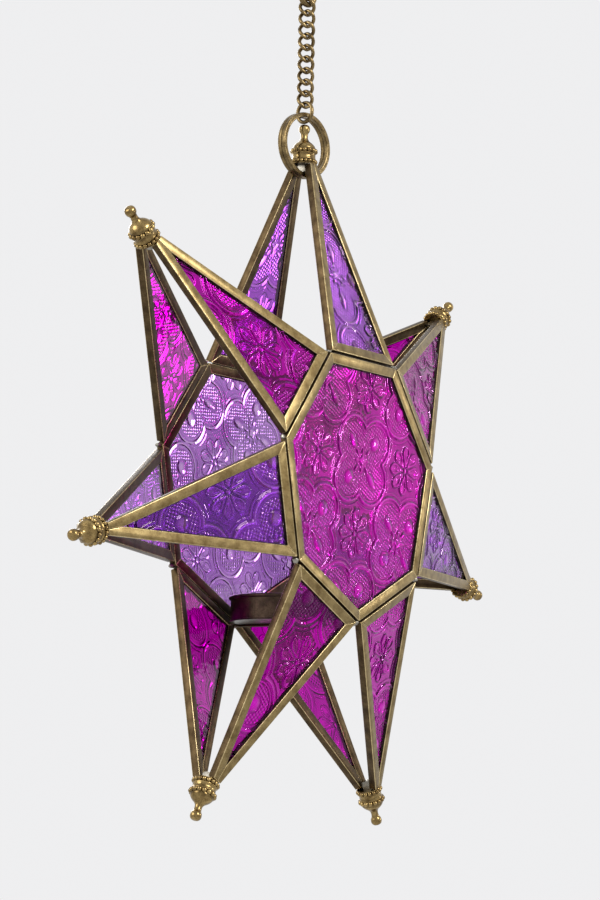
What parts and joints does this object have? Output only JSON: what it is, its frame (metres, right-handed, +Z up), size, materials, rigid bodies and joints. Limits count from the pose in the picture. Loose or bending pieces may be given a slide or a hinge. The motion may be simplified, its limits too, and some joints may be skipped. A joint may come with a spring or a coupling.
{
  "type": "moravian star pendant",
  "caption": "Hanging seven-pointed star lantern of coloured pressed glass in brass channel, with open sides, a tealight cup inside, a split ring and a chain with a hook.",
  "frame": {"origin": "where the top hook rests on its peg, straight above the star's centre", "axes": "+Z up the chain, the star's flat front pane faces -Y"},
  "size_m": [0.268, 0.0574, 0.3348],
  "materials": {
    "antique_brass": "antiqued satin",
    "bright_brass": "polished, lightly aged",
    "magenta_glass": "pressed relief",
    "purple_glass": "pressed relief",
    "lilac_glass": "pressed relief",
    "solder": "bright solder"
  },
  "bodies": {
    "hook": {"top_hook": "bright_brass"},
    "link_1": {"chain_link_1": "bright_brass"},
    "link_2": {"chain_link_2": "bright_brass"},
    "link_3": {"chain_link_3": "bright_brass"},
    "link_4": {"chain_link_4": "bright_brass"},
    "link_5": {"chain_link_5": "bright_brass"},
    "link_6": {"chain_link_6": "bright_brass"},
    "link_7": {"chain_link_7": "bright_brass"},
    "link_8": {"chain_link_8": "bright_brass"},
    "link_9": {"chain_link_9": "bright_brass"},
    "jump": {"jump_ring": "bright_brass"},
    "ring": {"hanging_ring": "bright_brass"},
    "star": {"front_frame": "antique_brass", "back_frame": "antique_brass", "front_glass": "magenta_glass", "back_glass": "lilac_glass", "point_1_front_frame": "antique_brass", "point_1_front_glass": "purple_glass", "point_1_back_frame": "antique_brass", "point_1_back_glass": "purple_glass", "finial_1": "bright_brass", "point_2_front_frame": "antique_brass", "point_2_front_glass": "magenta_glass", "point_2_back_frame": "antique_brass", "point_2_back_glass": "magenta_glass", "finial_2": "bright_brass", "point_3_front_frame": "antique_brass", "point_3_front_glass": "purple_glass", "point_3_back_frame": "antique_brass", "point_3_back_glass": "purple_glass", "finial_3": "bright_brass", "point_4_front_frame": "antique_brass", "point_4_front_glass": "magenta_glass", "point_4_back_frame": "antique_brass", "point_4_back_glass": "magenta_glass", "finial_4": "bright_brass", "point_5_front_frame": "antique_brass", "point_5_front_glass": "magenta_glass", "point_5_back_frame": "antique_brass", "point_5_back_glass": "magenta_glass", "finial_5": "bright_brass", "point_6_front_frame": "antique_brass", "point_6_front_glass": "purple_glass", "point_6_back_frame": "antique_brass", "point_6_back_glass": "purple_glass", "finial_6": "bright_brass", "point_7_front_frame": "antique_brass", "point_7_front_glass": "magenta_glass", "point_7_back_frame": "antique_brass", "point_7_back_glass": "magenta_glass", "finial_7": "bright_brass", "front_seam_solder": "solder", "back_seam_solder": "solder", "tip_solder": "solder", "candle_cup": "antique_brass", "cup_strap": "antique_brass"}
  },
  "joints": [
    {"name": "hook_to_link_1", "type": "hinge", "parent": "hook", "child": "link_1", "pos_m": [0, 0, -0.02353], "axis": [-0.1736, -0.9848, 0], "range_deg": [-15, 15]},
    {"name": "link_1_to_link_2", "type": "hinge", "parent": "link_1", "child": "link_2", "pos_m": [0, 0, -0.02797], "axis": [0.9848, -0.1736, 0], "range_deg": [-15, 15]},
    {"name": "link_2_to_link_3", "type": "hinge", "parent": "link_2", "child": "link_3", "pos_m": [0, 0, -0.03243], "axis": [-0.1736, -0.9848, 0], "range_deg": [-15, 15]},
    {"name": "link_3_to_link_4", "type": "hinge", "parent": "link_3", "child": "link_4", "pos_m": [0, 0, -0.03687], "axis": [0.9848, -0.1736, 0], "range_deg": [-15, 15]},
    {"name": "link_4_to_link_5", "type": "hinge", "parent": "link_4", "child": "link_5", "pos_m": [0, 0, -0.04133], "axis": [-0.1736, -0.9848, 0], "range_deg": [-15, 15]},
    {"name": "link_5_to_link_6", "type": "hinge", "parent": "link_5", "child": "link_6", "pos_m": [0, 0, -0.04578], "axis": [0.9848, -0.1736, 0], "range_deg": [-15, 15]},
    {"name": "link_6_to_link_7", "type": "hinge", "parent": "link_6", "child": "link_7", "pos_m": [0, 0, -0.05022], "axis": [-0.1736, -0.9848, 0], "range_deg": [-15, 15]},
    {"name": "link_7_to_link_8", "type": "hinge", "parent": "link_7", "child": "link_8", "pos_m": [0, 0, -0.05468], "axis": [0.9848, -0.1736, 0], "range_deg": [-15, 15]},
    {"name": "link_8_to_link_9", "type": "hinge", "parent": "link_8", "child": "link_9", "pos_m": [0, 0, -0.05912], "axis": [-0.1736, -0.9848, 0], "range_deg": [-15, 15]},
    {"name": "link_9_to_jump_ring", "type": "hinge", "parent": "link_9", "child": "jump", "pos_m": [0, 0, -0.06358], "axis": [0.9848, -0.1736, 0], "range_deg": [-15, 15]},
    {"name": "jump_ring_to_ring", "type": "hinge", "parent": "jump", "child": "ring", "pos_m": [0, 0, -0.07015], "axis": [-0.1736, -0.9848, 0], "range_deg": [-20, 20]},
    {"name": "ring_to_star", "type": "hinge", "parent": "ring", "child": "star", "pos_m": [0, 0, -0.0898], "axis": [0.9848, -0.1736, 0], "range_deg": [-10, 10]}
  ]
}
